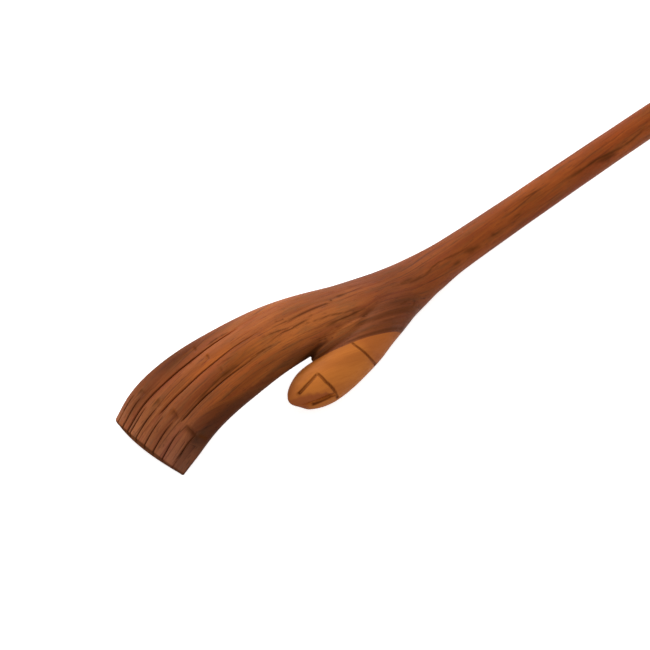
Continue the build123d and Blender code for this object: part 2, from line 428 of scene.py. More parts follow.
# the mesh along the thumb: (start, end, step), then rows over its round tip
THUMB_RUNS = [(THUMB_ROOT_STARTS, 0.4, 0.009), (0.4, THUMB_TIP_STARTS, 0.0036)]
THUMB_TIP_ANGLES = np.linspace(0, np.pi / 2, 72)[1:-5]
THUMB_AROUND = 216
# no cut is deeper than this share of the distance to the middle
DEEPEST_SHARE = 0.25


def drawn(pairs, count):
    """Both coordinates along a smooth line through the pairs."""
    at = np.linspace(0, len(pairs) - 1, count)
    return [smooth([(i, pair[k]) for i, pair in enumerate(pairs)], at) for k in (0, 1)]


def line_points(pairs, count=60):
    """Points along a line on the thumb, from its (t, degrees) pairs."""
    return thumb_skin(*drawn(pairs, count))[0]


def distance_to(points, line):
    """Distance of each point from a line of points, and how far along it that is."""
    nearest = np.full(len(points), np.inf)
    along = np.zeros(len(points))
    for i in range(len(line) - 1):
        run = line[i + 1] - line[i]
        share = np.clip((points - line[i]) @ run / (run @ run), 0, 1)
        gap = np.linalg.norm(points - line[i] - share[:, None] * run, axis=1)
        closer = gap < nearest
        nearest[closer] = gap[closer]
        along[closer] = (i + share[closer]) / (len(line) - 1)
    return nearest, along


def line_width(half, along):
    """Half width of a knife line of the thumb: it widens along its way."""
    return half * (0.8 + 0.5 * along)


def scoop(t, degrees):
    """Share of the way down the scooped end of the thumbnail."""
    sway, turns = SCOOP_EDGE_SWAY
    edge = np.interp(t, *zip(*SCOOP_EDGE)) + sway * np.sin(t * turns)
    down = np.clip((edge - degrees) / np.maximum(edge - SCOOP_FLOOR, 1), 0, 1)
    rim = 1 - ease(SCOOP_FLOOR - SCOOP_RIM, SCOOP_FLOOR, degrees)
    down = down * (1 - rim * (1 - ease(0.955, 0.985, t))) * ease(-85, -30, degrees) * (degrees < 110)
    return down * ease(0.872, 0.89, t)


def thumb_cuts(t, degrees, skin):
    """Depth that the knife took off the thumb, in mm."""
    flat = skin.reshape(-1, 3)
    depth = (SCOOP_DEPTH - SCOOP_TIP_SHALLOWER * ease(0.95, 1, t)) * scoop(t, degrees)
    for half, deep, pairs in THUMB_LINES:
        away, along = distance_to(flat, line_points(pairs))
        ends = np.minimum(ease(-0.01, 0.08, along), ease(-0.01, 0.12, 1 - along))
        cut = deep * np.clip(1 - away / line_width(half, along), 0, 1) * (0.35 + 0.65 * ends)
        cut += LINE_DISH[0] * np.exp(-(away / LINE_DISH[1]) ** 2) * ends
        depth = depth + cut.reshape(t.shape)
    chip_depth, chip_along, chip_round = THUMB_CHIP
    chip = chip_depth * (1 + np.sin(t * chip_along + np.radians(degrees) * chip_round))
    pad_depth, pad_middle = PARED_PAD
    on_pad = np.clip(np.cos(np.radians(degrees - pad_middle)), 0, 1) ** 2
    return depth + chip + pad_depth * ease(0.9, 0.985, t) * on_pad


def thumb_shell():
    """The whole thumb, from inside the wrist to its tip."""
    shell = Shell()
    tip = THUMB_TIP_STARTS + (1 - THUMB_TIP_STARTS) * np.sin(THUMB_TIP_ANGLES)
    t = np.concatenate([spans(*THUMB_RUNS), tip])
    degrees = np.linspace(-180, 180, THUMB_AROUND, endpoint=False)
    t, degrees = grid(t, degrees)
    skin, out = thumb_skin(t, degrees)
    middles = skin.mean(1)
    radius = np.linalg.norm(skin - middles[:, None], axis=-1)
    skin = skin - out * np.minimum(thumb_cuts(t, degrees, skin), DEEPEST_SHARE * radius)[..., None]
    shell.capped_tube(skin, middles[0], skin[-1].mean(0))
    return shell.object("thumb_shell")


SLEEVE_PLACES = np.linspace(0.2, 1.04, 160)
SLEEVE_POLE = 1.06
SLEEVE_GROWN = 0.7


def sleeve_shell():
    """A loose sleeve round the thumb: it keeps the palm out of the pale wood."""
    shell = Shell()
    t, degrees = grid(SLEEVE_PLACES, np.linspace(-180, 180, 96, endpoint=False))
    skin, _ = thumb_skin(t, degrees, grown=SLEEVE_GROWN, ends=SLEEVE_POLE)
    shell.capped_tube(skin, skin[0].mean(0), skin[-1].mean(0))
    return shell.object("sleeve_shell")


def web_shell():
    """The web between the thumb and the index finger."""
    shell = Shell()
    share, angle = grid(np.cos(np.linspace(np.pi, 0, 34))[1:-1],
                        np.linspace(0, 2 * np.pi, 40, endpoint=False))
    ring = np.sqrt(1 - share ** 2)
    ball = np.stack([share, ring * np.cos(angle), ring * np.sin(angle)], -1)
    half_length = WEB_HALF_SIZE * [1, 0, 0]
    rows = WEB_CENTRE + WEB_HALF_SIZE * ball
    shell.capped_tube(rows, WEB_CENTRE - half_length, WEB_CENTRE + half_length)
    return shell.object("web_shell")


def lathe(name, axis_point, axis, profile, segments):
    """Closed body of revolution: profile is (distance along the axis, radius)."""
    shell = Shell()
    axis = np.array(axis, float) / np.linalg.norm(axis)
    side = np.cross(axis, [0.0, 0.0, 1.0] if abs(axis[2]) < 0.9 else [1.0, 0.0, 0.0])
    side /= np.linalg.norm(side)
    other = np.cross(axis, side)
    angle = np.linspace(0, 2 * np.pi, segments, endpoint=False)[:, None]
    rim = np.cos(angle) * side + np.sin(angle) * other
    rows = np.array([axis_point + axis * at + rim * radius for at, radius in profile])
    shell.capped_tube(rows, axis_point + axis * profile[0][0], axis_point + axis * profile[-1][0])
    return shell.object(name)


def combined(name, thing, tool, operation):
    """New object: thing with tool joined to it, taken from it, or kept only inside it."""
    change = thing.modifiers.new("combine", "BOOLEAN")
    change.operation = operation
    change.solver = "MANIFOLD"
    change.object = tool
    graph = bpy.context.evaluated_depsgraph_get()
    mesh = bpy.data.meshes.new_from_object(thing.evaluated_get(graph))
    thing.modifiers.remove(change)
    return placed(name, mesh)


def points_of(mesh):
    """The places of a mesh's vertices, one row each."""
    flat = np.zeros(len(mesh.vertices) * 3)
    mesh.vertices.foreach_get("co", flat)
    return flat.reshape(-1, 3)


def keys_of(points):
    """One whole number for each place, to tell equal places."""
    cells = np.round(points * 500).astype(np.int64) + 2 ** 19
    return (cells[:, 0] << 42) + (cells[:, 1] << 21) + cells[:, 2]


def gap_to(points, places):
    """Distance from each point to the nearest of the places."""
    gap = np.zeros(len(points))
    for start in range(0, len(points), 4000):
        block = points[start:start + 4000]
        gap[start:start + 4000] = np.sqrt(((block[:, None] - places[None]) ** 2).sum(-1).min(1))
    return gap


# ---- how far the junction of the thumb and the hand is softened, in mm ----
SOFT_REACH = 0.6
SOFT_MORE_AT_WRIST = 5.4
SOFT_MORE_OUTSIDE = 2.4
SOFT_STRENGTH = 0.6
SOFT_ROUNDS = 60


def soften_junction(whole, parts):
    """Rounds the corner between thumb and hand; returns the points of that junction."""
    points = points_of(whole.data)
    known = np.concatenate([keys_of(points_of(part.data)) for part in parts])
    seam = points[~np.isin(keys_of(points), known)]
    chosen = np.flatnonzero((points[:, 0] > 70) & (points[:, 0] < 175))
    gap = np.full(len(points), np.inf)
    gap[chosen] = gap_to(points[chosen], seam)
    to_wrist = ease(104, 128, points[:, 0])
    outside = (1 - to_wrist) * ease(10.4, 12, -points[:, 1])
    reach = SOFT_REACH + SOFT_MORE_AT_WRIST * to_wrist + SOFT_MORE_OUTSIDE * outside
    amount = SOFT_STRENGTH * np.clip(1 - gap / reach, 0, 1)
    pairs = np.zeros(len(whole.data.edges) * 2, np.int64)
    whole.data.edges.foreach_get("vertices", pairs)
    pairs = pairs.reshape(-1, 2)
    pairs = pairs[(amount[pairs] > 0).any(1)]
    count = np.bincount(pairs.ravel(), minlength=len(points))
    active = (amount > 0) & (count > 0)
    for _ in range(SOFT_ROUNDS):
        total = np.stack([np.bincount(pairs[:, 0], points[pairs[:, 1], k], len(points))
                          + np.bincount(pairs[:, 1], points[pairs[:, 0], k], len(points))
                          for k in range(3)], 1)
        mean = total[active] / count[active][:, None]
        points[active] += amount[active][:, None] * (mean - points[active])
    whole.data.vertices.foreach_set("co", points.ravel())
    whole.data.update()
    return seam


# the drill flares at both ends: (height over the centre line, radius)
DRILL = [(-12, 6.5), (-6.6, HOLE_RADIUS), (6.6, HOLE_RADIUS), (12, 6.5)]
DRILL_SEGMENTS = 72
# the growth ring as a long round bar
RING_BAR = [(-200, RING_RADIUS), (250, RING_RADIUS)]
RING_SEGMENTS = 720


def carve():
    """The two pieces of the carving, still in millimetres, and the points of their junction."""
    palm = hand_shell()
    thumb = thumb_shell()
    web = web_shell()
    webbed = combined("webbed", palm, web, "UNION")
    whole = combined("whole", webbed, thumb, "UNION")
    seam = soften_junction(whole, [palm, thumb, web])
    x, z, _ = centre(HOLE_REACH)
    drill = lathe("drill", np.array([float(x), 0, float(z)]), (0, 0, 1), DRILL, DRILL_SEGMENTS)
    drilled = combined("drilled", whole, drill, "DIFFERENCE")
    ring = lathe("ring", RING_POINT, (1, RING_DRIFT, 0), RING_BAR, RING_SEGMENTS)
    sleeve = sleeve_shell()
    sapwood = combined("sapwood", sleeve, ring, "DIFFERENCE")
    pale = combined("carved_thumb", drilled, sapwood, "INTERSECT")
    dark = combined("carved_hand_and_handle", drilled, sapwood, "DIFFERENCE")
    for scrap in (palm, thumb, web, webbed, whole, drill, drilled, ring, sleeve, sapwood):
        bpy.data.objects.remove(scrap)
    return dark, pale, seam


# ---- clean-up: slivers go, and only real corners stay sharp ----
SAME_POINT = 0.004
SHORTEST_EDGE = 0.002
SHARP_ANGLE = 50

hand, thumb, seam = carve()
for piece in (hand, thumb):
    clean = bmesh.new()
    clean.from_mesh(piece.data)
    bmesh.ops.remove_doubles(clean, verts=clean.verts, dist=SAME_POINT)
    bmesh.ops.dissolve_degenerate(clean, edges=clean.edges, dist=SHORTEST_EDGE)
    bmesh.ops.triangulate(clean, faces=clean.faces)
    clean.to_mesh(piece.data)
    clean.free()
    piece.data.shade_smooth()
    piece.data.set_sharp_from_angle(angle=np.radians(SHARP_ANGLE))


# ---- where each point lies in the wood ----
def hand_place(points):
    """Reach, side and height over the centre line of points of the hand."""
    reach = np.interp(points[:, 0], LINE_X, LINE_REACH)
    for _ in range(5):
        x, z, slope = centre(reach)
        reach = reach + (points[:, 0] - x) * np.cos(slope) + (points[:, 2] - z) * np.sin(slope)
        reach = np.clip(reach, -3, LENGTH)
    x, z, slope = centre(np.clip(reach, 0, LENGTH))
    side = (points[:, 1] - smooth(SIDE_SHIFT, reach)) / smooth(HALF_WIDTH, reach)
    height = (points[:, 2] - z) * np.cos(slope) - (points[:, 0] - x) * np.sin(slope)
    return reach, side, height


def ring_distance(points):
    """Distance outside the growth ring that parts the two woods."""
    axis = np.array([1, RING_DRIFT, 0]) / np.hypot(1, RING_DRIFT)
    arm = points - RING_POINT
    arm = arm - (arm @ axis)[:, None] * axis
    return np.linalg.norm(arm, axis=1) - RING_RADIUS


# how light the wood is along the hand and the handle: (reach, share)
TONE = [(0, 1.08), (15, 0.87), (30, 0.89), (48, 1.05), (62, 1.09), (78, 1.05), (105, 0.92),
        (125, 0.78), (140, 0.63), (170, 0.74), (250, 0.84), (300, 0.91), (430, 0.92)]
# how light the colour is across the fingers, by side: the wood's own tone together with painted light;
# and on the flat flank of the index finger, by reach: painted shade
SIDE_TONE = [(-1, 0.8), (-0.5, 0.8), (-0.2, 0.85), (0.1, 0.95), (0.4, 1), (0.8, 0.85), (1, 0.8)]
FLANK_SHADE_TONE = [(0, 0.68), (8, 0.66), (16, 0.46), (30, 0.54), (45, 0.55), (65, 0.55), (76, 0.46),
              (86, 0.55), (98, 0.85), (430, 1)]
# how much greener and bluer than usual the wood is, by reach
GREEN = [(0, 1.3), (14, 1.12), (28, 0.92), (50, 0.94), (70, 1.02), (100, 1.05), (135, 0.9),
         (200, 0.87), (430, 0.85)]
BLUE = [(0, 3.4), (10, 2.5), (20, 1.4), (30, 0.75), (50, 0.7), (70, 0.95), (100, 1.3), (125, 1.2),
        (150, 0.8), (430, 0.8)]
# dark veins on the back: (half width in mm, strength, points), each point (reach, side)
VEINS = [
    (0.4, 1.0, [(49, 0.49), (54, 0.5), (60, 0.48)]),
    (0.45, 1.0, [(27, -0.43), (32, -0.405), (37, -0.39), (42, -0.38), (47, -0.39), (51, -0.42)]),
    (0.35, 0.6, [(44, -0.11), (49, -0.14), (52, -0.17)]),
    (0.35, 0.8, [(56, -0.45), (62, -0.48), (68, -0.52)]),
    (0.35, 0.9, [(66, -0.21), (73, -0.27), (79, -0.37)]),
    (0.3, 0.8, [(76, 0.0), (79, -0.05), (84, -0.06)]),
    (0.4, 1.0, [(73, -0.1), (79, -0.15), (90, -0.17), (101, -0.16), (108, -0.05), (115, 0.04),
                (121, 0.06)]),
    (0.35, 0.9, [(67, -0.41), (74, -0.38), (80, -0.42), (88, -0.4), (92, -0.34)]),
    (0.35, 0.8, [(84, -0.47), (91, -0.57), (98, -0.62), (107, -0.72), (116, -0.66)]),
    (0.45, 1.0, [(92, -0.84), (99, -0.85), (106, -0.85), (112, -0.82), (118, -0.79)]),
    (0.35, 0.7, [(139, -0.31), (147, -0.27), (155, -0.37)]),
    (0.3, 0.6, [(108, 0.3), (118, 0.34), (127, 0.28)]),
    (0.4, 0.9, [(137, -0.29), (145, -0.34), (156, -0.44), (165, -0.35), (175, -0.5), (184, -0.61)]),
    (1.3, 0.7, [(179, -0.66), (185, -0.76), (190, -0.82)]),
    (0.8, 0.6, [(171, -0.8), (177, -0.86)]),
    (0.7, 0.7, [(197, -0.73), (203, -0.86)]),
    (0.35, 0.7, [(222, -0.09), (230, -0.22), (235, -0.25)]),
    (0.35, 0.6, [(209, -0.7), (216, -0.7), (221, -0.54)]),
    (0.6, 1.0, [(250, -0.68), (260, -0.68), (269, -0.68), (279, -0.78), (288, -0.84)]),
    (0.4, 0.8, [(286, -0.84), (292, -0.85), (298, -0.82), (305, -0.7)]),
    (1.3, 0.8, [(268, -0.76), (276, -0.86), (283, -0.9)]),
    (0.9, 0.9, [(16.5, -0.86), (17.5, -0.93), (18.5, -0.99)]),
]
# the same on the root of the thumb, each point (place along it, degrees round it)
ROOT_VEINS = [
    (0.5, 0.8, [(0.36, 71), (0.31, 62), (0.26, 54)]),
    (0.5, 0.7, [(0.25, 54), (0.28, 36), (0.34, 49)]),
    (0.5, 0.8, [(0.52, 104), (0.48, 88), (0.44, 73)]),
    (0.4, 0.6, [(0.5, 80), (0.44, 60), (0.38, 45)]),
]
VEIN_STEPS = 12
VEIN_SURROUND = 4
# broad darker (+) and lighter (-) places, partly the wood's own stains and partly painted shade and light
# across the fingers: (reach, side, half of its reach, half of its side, strength)
STAINS_AND_PAINTED_LIGHT = [
    (38, 0.74, 20, 0.23, 0.55),
    (38, 0.2, 20, 0.09, 0.22),
    (40, -0.33, 24, 0.13, 0.22),
    (36, -0.83, 24, 0.13, 0.25),
    (38, -0.04, 16, 0.11, -0.3),
    (42, -0.61, 22, 0.09, -0.25),
    (46, -0.36, 8, 0.05, 0.3),
    (78, -0.82, 24, 0.1, 0.15),
    (14, 0.58, 9, 0.1, 0.35),
    (14, 0.2, 8, 0.08, 0.2),
    (88, 0.0, 8, 0.1, 0.22),
    (228, -0.35, 12, 0.3, 0.2),
    (285, -0.35, 9, 0.4, -0.18),
]
# growth bands on the thumb's root: (mm inside the growth ring, half width, strength)
BANDS = [(8.5, 1.5, 0.65), (13, 1.8, 0.45), (3.5, 1.2, 0.35)]
# the dark line just inside the growth ring: (mm inside, half width, strength)
SEAM_LINE = (1.2, 0.9, 0.7)
# half width of the darkening beside the thumb's knife lines: dirt together with painted shade
THUMB_LINE_DIRT_AND_SHADE = 0.35
# shade in the crotch and the crease under the thumb
CROTCH_CENTRE = [80, -9, 13.5]
CROTCH_HALF_SIZE = [9, 2.2, 4]
CREASE_HALF = 0.45
DEEP_SHADE = 0.9
TIP_SHADE = 0.5
ROOT_DARKER = 0.23
HAND_GLOSS = 0.2
THUMB_GLOSS = 0.1
# mm from the growth ring to the middle of the thumb's grain
GRAIN_SHIFT = 26


def vein_marks(points):
    """How dark the veins drawn on the hand are at each point."""
    lines = []
    for half, strength, pairs in VEINS:
        places = zip(*drawn(pairs, VEIN_STEPS * len(pairs)))
        lines.append((half, strength, np.array([hand_points([r], [s], True)[0, 0] for r, s in places])))
    for half, strength, pairs in ROOT_VEINS:
        lines.append((half, strength, line_points(pairs, VEIN_STEPS * len(pairs))))
    dark = np.zeros(len(points))
    for half, strength, line in lines:
        low, high = line.min(0) - VEIN_SURROUND, line.max(0) + VEIN_SURROUND
        near = np.flatnonzero(((points > low) & (points < high)).all(1))
        away, along = distance_to(points[near], line)
        ragged = half * (1 + 0.5 * np.sin(along * 17 + half * 40) * np.sin(along * 7.3))
        fade = np.sqrt(np.clip(4 * along * (1 - along), 0, 1))
        dark[near] = np.maximum(dark[near], strength * fade * np.exp(-(away / ragged) ** 2))
    return dark


def knife_dirt_and_shade(reach, side, height):
    """Dirt and old oil together with painted shade that darken the knife cuts on the back of the hand."""
    width = smooth(HALF_WIDTH, reach)
    dark = np.zeros(len(reach))
    for lines, _, _, half in KNIFE_LINES:
        for place, drift, start, end, deep in lines:
            away = np.abs(side - wander(place, drift, reach)) * width
            left = min(1, 0.3 + deep) * strength_left(reach, start, end)
            dark = np.maximum(dark, np.clip(1.6 * left, 0, 1) * np.exp(-(away / half) ** 2))
    for marks, _, strength, slopes in STOP_CUTS:
        for mark in marks:
            dark = np.maximum(dark, strength * mark[-1] * notch(reach, side, mark, slopes))
    return dark * (height > 0)


def thumb_place(points):
    """Place along the thumb, degrees round it and share of its radius."""
    t = np.linspace(0.1, 1, 361)
    axis, sideways, nailward = thumb_frame(t)
    nearest = np.zeros(len(points), int)
    for start in range(0, len(points), 10000):
        block = points[start:start + 10000]
        nearest[start:start + 10000] = ((block[:, None] - axis[None]) ** 2).sum(-1).argmin(1)
    arm = points - axis[nearest]
    wide = (arm * sideways[nearest]).sum(1) / smooth(THUMB_HALF_WIDTH, t[nearest])
    thick = (arm * nailward[nearest]).sum(1) / smooth(THUMB_HALF_THICKNESS, t[nearest])
    return t[nearest], np.degrees(np.arctan2(thick, wide)), np.hypot(wide, thick)


def thumbness(points):
    """1 on the thumb and its root, 0 on the palm and in the wrist."""
    t, _, share = thumb_place(points)
    return (1 - ease(1.03, 1.25, share)) * ease(0.16, 0.36, t)


def grain_of_hand(points, reach, height, outside):
    """Places in the wood: mm along the grain, across the rings and along the rings."""
    plain = points[:, 1] - 0.75 * smooth(SIDE_SHIFT, reach) + 0.25 * height
    across = plain + thumbness(points) * (-outside - GRAIN_SHIFT - plain)
    return np.stack([reach, across, height], 1)


def hill(values, middle, half):
    """1 at the middle, falling away softly over the half width."""
    return np.exp(-((values - middle) / half) ** 2)


def store(piece, name, values):
    """Keeps one value or vector for each vertex, for the materials to read."""
    kind, field = ("FLOAT", "value") if values.ndim == 1 else ("FLOAT_VECTOR", "vector")
    layer = piece.data.attributes.new(name, kind, "POINT")
    layer.data.foreach_set(field, np.ascontiguousarray(values, np.float32).ravel())


def paint_hand(piece, seam):
    """Stores the grain, dark lines, shade, gloss and tint of the hand."""
    points = points_of(piece.data)
    reach, side, height = hand_place(points)
    outside = ring_distance(points)
    on_root = thumbness(points)
    on_fingers = 1 - ease(52, 88, reach)
    past_edge = -side - smooth(INDEX_EDGE, reach)
    store(piece, "grain", grain_of_hand(points, reach, height, outside))

    # dark lines: knife cuts darkened by dirt together with painted shade, and dark veins of the wood
    cut = knife_dirt_and_shade(reach, side, height)
    bands = sum(strength * hill(outside, -inside, half) for inside, half, strength in BANDS)
    inside, half, strength = SEAM_LINE
    seam_line = strength * hill(outside, -inside, half) * ease(84, 100, points[:, 0])
    vein = np.maximum(vein_marks(points), np.maximum(bands, seam_line) * on_root)
    store(piece, "cut", cut)
    store(piece, "vein", vein)

    # shade: the crotch, the crease under the thumb, the flank behind it and the cut fingertips
    crotch = hill(np.linalg.norm((points - CROTCH_CENTRE) / CROTCH_HALF_SIZE, axis=1), 0, 1)
    palm_seam = seam[(seam[:, 2] > 14) & (seam[:, 1] > -10.3)]
    crease = hill(gap_to(points, palm_seam), 0, CREASE_HALF) * (1 - ease(98, 122, points[:, 0]))
    behind = ease(58, 76, points[:, 0]) * (1 - ease(86, 94, points[:, 0]))
    behind = behind * ease(-11.9, -11.1, points[:, 1]) * (1 - ease(20.8, 22.2, points[:, 2]))
    behind = DEEP_SHADE * behind * ease(-0.02, 0.03, past_edge)
    tip_face = TIP_SHADE * (1 - ease(-0.1, 0.35, reach))
    shade = np.clip(np.maximum.reduce([crotch, DEEP_SHADE * crease, behind, tip_face]), 0, 1)
    store(piece, "shade", shade)

    # lighter and darker colour: the wood's own tone, with painted light across the fingers and painted
    # shade on the index flank
    flank = ease(-0.03, 0.05, past_edge) * (1 - ease(80, 105, reach)) * (height < 6)
    tone = smooth(TONE, reach) * (1 + on_fingers * (smooth(SIDE_TONE, np.clip(side, -1, 1)) - 1))
    tone = tone * (1 - flank * (1 - smooth(FLANK_SHADE_TONE, reach))) * (1 - ROOT_DARKER * on_root)
    # the wood's own stains together with painted shade and light across the fingers
    stained_and_shaded = np.ones(len(points))
    for place, middle, half_reach, half_side, strength in STAINS_AND_PAINTED_LIGHT:
        spread = ((reach - place) / half_reach) ** 2 + ((side - middle) / half_side) ** 2
        stained_and_shaded = stained_and_shaded * (1 - strength * np.exp(-spread))
    tone = tone * stained_and_shaded
    on_index = on_fingers * ease(0.2, 0.6, -side)
    green = smooth(GREEN, reach) * (1 + 0.05 * on_index)
    blue = smooth(BLUE, reach) * (1 + 0.4 * on_index)

    # the oiled shine: less on dark lines, in the shade and on the fingers
    gloss = HAND_GLOSS * (1 - shade) * np.clip(stained_and_shaded, 0, 1) * (1 - 0.3 * on_fingers)
    gloss = gloss * (1 - 0.4 * ease(0.1, 0.7, side)) * (1 - 0.3 * ease(150, 200, reach))
    gloss = gloss * (1 - 0.8 * np.maximum(cut, vein).clip(0, 1)) * (tip_face <= 0)
    store(piece, "gloss", gloss)
    store(piece, "tint", np.stack([tone, tone * green, tone * blue], 1))


def paint_thumb(piece):
    """The same for the pale thumb."""
    points = points_of(piece.data)
    reach, _, height = hand_place(points)
    t, degrees, _ = thumb_place(points)
    across = -ring_distance(points) - GRAIN_SHIFT
    store(piece, "grain", np.stack([reach, across, height], 1))
    # the knife lines darkened by dirt together with painted shade
    cut = np.zeros(len(points))
    for half, _, pairs in THUMB_LINES:
        away, along = distance_to(points, line_points(pairs))
        fade = np.minimum(ease(-0.03, 0.06, along), ease(-0.03, 0.06, 1 - along))
        past = (away - 0.7 * line_width(half, along)).clip(0)
        cut = np.maximum(cut, fade * hill(past, 0, THUMB_LINE_DIRT_AND_SHADE))
    store(piece, "cut", cut)
    # painted shade: the colour darker on the thumb's lower side
    shaded_low_side = ease(5, 45, -degrees) * (1 - ease(120, 160, -degrees))
    root = 1 - ease(0.62, 0.68, t)
    tone = 1 - 0.24 * shaded_low_side - 0.12 * ease(90, 140, degrees) - 0.16 * root - 0.07 * ease(0.9, 0.97, t)
    scooped = np.clip(scoop(t, degrees) * 3, 0, 1)
    store(piece, "shade", np.maximum(scooped, TIP_SHADE * ease(0.95, 0.99, t)))
    store(piece, "gloss", THUMB_GLOSS * (1 - 0.8 * shaded_low_side) * (1 - 0.7 * cut))
    store(piece, "tint", np.stack([tone, tone * (1 - 0.1 * root), 1.15 * tone], 1))


paint_hand(hand, seam)
paint_thumb(thumb)
for piece in (hand, thumb):
    piece.data.transform(Matrix.Translation(Vector(-ROW_ORIGIN)))
    piece.data.transform(Matrix.Scale(MM, 4))


# ---- materials; colours are linear ----
HEART_LIGHT = (0.45, 0.116, 0.015, 1)
HEART_MIDDLE = (0.31, 0.07, 0.009, 1)
HEART_RED = (0.27, 0.051, 0.006, 1)
HEART_WARM_PATCH = (0.34, 0.062, 0.01, 1)
HEART_OLIVE_PATCH = (0.22, 0.08, 0.016, 1)
HEART_DARK = (0.1, 0.022, 0.003, 1)
HEART_VEIN = (0.095, 0.024, 0.004, 1)
HEART_SHADE = (0.03, 0.009, 0.004, 1)
# dark of the knife cuts: dirt together with painted shade in the grooves
HEART_CUT_DIRT_AND_SHADE = (0.055, 0.012, 0.002, 1)
SAP_LIGHT = (0.56, 0.17, 0.023, 1)
SAP_MIDDLE = (0.47, 0.135, 0.019, 1)
SAP_STREAK = (0.42, 0.11, 0.015, 1)
SAP_SHADE = (0.25, 0.05, 0.016, 1)
SAP_FLECK = (0.3, 0.09, 0.02, 1)
SAP_PORE = (0.26, 0.08, 0.02, 1)
# dark of the thumb's knife cuts: dirt together with painted shade
SAP_CUT_DIRT_AND_SHADE = (0.095, 0.019, 0.002, 1)
OIL_IOR = 1.45
# growth rings: radians to a mm across the grain, and how far noise bends them
RINGS_PER_MM = 2.1
RING_WARP = 21.0


class Wood:
    """A material's node tree, with short ways to add to it."""

    def __init__(self, name):
        self.material = bpy.data.materials.new(name)
        self.material.use_nodes = True
        self.tree = self.material.node_tree
        self.tree.nodes.clear()

    def node(self, kind, inputs=None, **settings):
        made = self.tree.nodes.new("ShaderNode" + kind)
        for key, value in settings.items():
            setattr(made, key, value)
        for key, value in (inputs or {}).items():
            self.feed(made.inputs[key], value)
        return made

    def feed(self, socket, value):
        if isinstance(value, bpy.types.NodeSocket):
            self.tree.links.new(value, socket)
        else:
            socket.default_value = value

    def attribute(self, name, output="Fac"):
        return self.node("Attribute", attribute_name=name).outputs[output]

    def noise(self, vector, detail, rough=0.55, distortion=0.0):
        made = self.node("TexNoise", {"Vector": vector, "Scale": 1.0, "Detail": detail, "Roughness": rough,
                                      "Distortion": distortion})
        return made.outputs["Fac"]

    def math(self, operation, a, b=0.0):
        return self.node("Math", {0: a, 1: b}, operation=operation).outputs[0]

    def product(self, a, b):
        return self.math("MULTIPLY", a, b)

    def vector_product(self, a, b):
        return self.node("VectorMath", {0: a, 1: b}, operation="MULTIPLY").outputs[0]

    def streaks(self, grain, frequency, *settings):
        """Noise drawn out along the grain; its frequency is along, across and deep, per mm."""
        return self.noise(self.vector_product(grain, frequency), *settings)

    def ramp(self, value, low, high, start=0.0, end=1.0):
        ends = {"Value": value, "From Min": low, "From Max": high, "To Min": start, "To Max": end}
        made = self.node("MapRange", ends, interpolation_type="SMOOTHSTEP", clamp=True)
        return made.outputs["Result"]

    def mix(self, factor, one, two):
        made = self.node("Mix", data_type="RGBA")
        self.feed(made.inputs["Factor"], factor)
        for name, value in (("A", one), ("B", two)):
            socket = next(s for s in made.inputs if s.name == name and s.type == "RGBA")
            self.feed(socket, value)
        return next(s for s in made.outputs if s.type == "RGBA")

    def stain_and_shade(self, colour, marks, strength, towards):
        """The colour moved towards another one where the marks are."""
        return self.mix(self.product(marks, strength), colour, towards)

    def finish(self, colour, roughness, height, strength, distance):
        bump = self.node("Bump", {"Height": height, "Strength": strength, "Distance": distance})
        shader = self.node("BsdfPrincipled", {
            "Base Color": colour, "Roughness": roughness, "Normal": bump.outputs[0], "IOR": OIL_IOR,
            "Specular IOR Level": self.attribute("gloss")})
        output = self.node("OutputMaterial")
        self.tree.links.new(shader.outputs[0], output.inputs[0])
        return self.material


